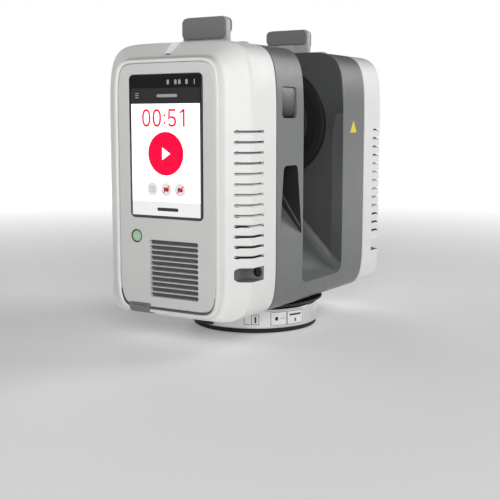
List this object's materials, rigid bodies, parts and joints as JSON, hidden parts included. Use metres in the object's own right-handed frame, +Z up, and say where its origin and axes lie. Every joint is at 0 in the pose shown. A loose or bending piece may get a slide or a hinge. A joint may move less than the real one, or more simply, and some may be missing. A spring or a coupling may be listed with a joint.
{
  "type": "terrestrial laser scanner",
  "caption": "Twin-tower terrestrial laser scanner on a round turntable base, with a spinning slanted mirror between its towers, a touch display in front and grips on top.",
  "frame": {"origin": "centre of the foot ring's underside, on the turning axis", "axes": "+Z up along the turning axis; -Y is the way the display faces; +X is on the right of someone who looks at the display; the long side of the body and the mirror's axis lie along Y"},
  "size_m": [0.12, 0.233, 0.2293],
  "materials": {
    "white_shell": "fine satin moulded plastic, off-white",
    "grey_frame": "mid grey powder coat, satin",
    "plate_grey": "satin light grey moulded plastic",
    "grip_light": "satin light grey moulded plastic",
    "soft_pad": "matte dark grey soft-touch moulding",
    "black_plastic": "satin black moulded plastic",
    "black_rubber": "matte black rubber",
    "satin_aluminium": "turned and satin anodised aluminium",
    "steel": "ground steel",
    "brass_insert": "turned brass",
    "copper_winding": "enamelled copper winding on laminations",
    "magnet_steel": "plated magnet ring and motor can",
    "display_glass": "cover glass over a lit touch screen",
    "dark_glass": "tinted camera window",
    "optic_glass": "coated optical glass",
    "mirror_face": "first-surface mirror",
    "circuit_board": "solder-masked circuit board",
    "label_white": "printed polyester film label",
    "button_green": "translucent pale green button cap",
    "battery_case": "textured black battery case"
  },
  "bodies": {
    "base": {"base_foot": "black_rubber", "base_housing": "satin_aluminium", "base_label": "label_white", "tripod_insert": "brass_insert", "azimuth_bearing_outer": "steel", "azimuth_motor_stator": "copper_winding", "slip_ring": "black_plastic"},
    "release": {"release_button": "black_plastic"},
    "head": {"turntable_flange": "black_plastic", "azimuth_spindle": "steel", "azimuth_bearing_inner": "steel", "azimuth_motor_rotor": "magnet_steel", "azimuth_encoder_disc": "optic_glass", "chassis_bridge": "grey_frame", "front_tower_frame": "grey_frame", "rear_tower_frame": "grey_frame", "front_gasket": "black_rubber", "rear_gasket": "black_rubber", "front_shell": "white_shell", "rear_shell": "white_shell", "front_plate": "plate_grey", "rear_plate": "plate_grey", "front_screw_a": "steel", "front_screw_b": "steel", "rear_screw_a": "steel", "rear_screw_b": "steel", "display_glass": "display_glass", "display_module": "black_plastic", "main_board": "circuit_board", "power_switch": "black_plastic", "fan_frame": "black_plastic", "heat_sink": "satin_aluminium", "port_socket": "steel", "right_camera_window": "dark_glass", "left_camera_window": "dark_glass", "right_camera": "black_plastic", "left_camera": "black_plastic", "beam_window_ring": "black_plastic", "beam_window": "optic_glass", "laser_unit": "black_plastic", "mirror_bearing": "steel", "mirror_hub_ring": "black_plastic", "mirror_motor_housing": "magnet_steel", "battery_tray": "black_plastic", "battery_left": "battery_case", "battery_right": "battery_case", "front_grip": "grip_light", "rear_grip": "grip_light", "front_grip_pad": "soft_pad", "rear_grip_pad": "soft_pad", "front_grip_lip": "soft_pad", "rear_grip_lip": "soft_pad"},
    "mirror_unit": {"mirror": "mirror_face", "mirror_rotor": "black_plastic", "mirror_shaft": "steel"},
    "fan": {"fan_rotor": "black_plastic"},
    "power": {"power_button": "button_green"},
    "flap": {"port_flap": "soft_pad"},
    "door": {"battery_door": "plate_grey"},
    "latch": {"battery_latch": "soft_pad"}
  },
  "joints": [
    {"name": "head_swivel", "type": "hinge", "parent": "base", "child": "head", "pos_m": [0, 0, 0.018], "axis": [0, 0, 1], "continuous": true},
    {"name": "mirror_spin", "type": "hinge", "parent": "head", "child": "mirror_unit", "pos_m": [0, 0, 0.155], "axis": [0, 1, 0], "continuous": true},
    {"name": "fan_spin", "type": "hinge", "parent": "head", "child": "fan", "pos_m": [0.0058, -0.1075, 0.05575], "axis": [0, 1, 0], "continuous": true},
    {"name": "power_press", "type": "slide", "parent": "head", "child": "power", "axis": [0, 1, 0], "range_m": [0, 0.0012], "stiffness_N_per_m": 400},
    {"name": "release_press", "type": "slide", "parent": "base", "child": "release", "axis": [0.5878, 0.809, 0], "range_m": [0, 0.002], "stiffness_N_per_m": 900},
    {"name": "port_flap_turn", "type": "hinge", "parent": "head", "child": "flap", "pos_m": [-0.02325, -0.1101, 0.0244], "axis": [1, 0, 0], "range_deg": [0, 100]},
    {"name": "door_swing", "type": "hinge", "parent": "head", "child": "door", "pos_m": [0.0244, 0.1138, 0.104], "axis": [0, 0, -1], "range_deg": [0, 100]},
    {"name": "latch_slide", "type": "slide", "parent": "door", "child": "latch", "axis": [1, 0, 0], "range_m": [0, 0.003], "stiffness_N_per_m": 200}
  ]
}
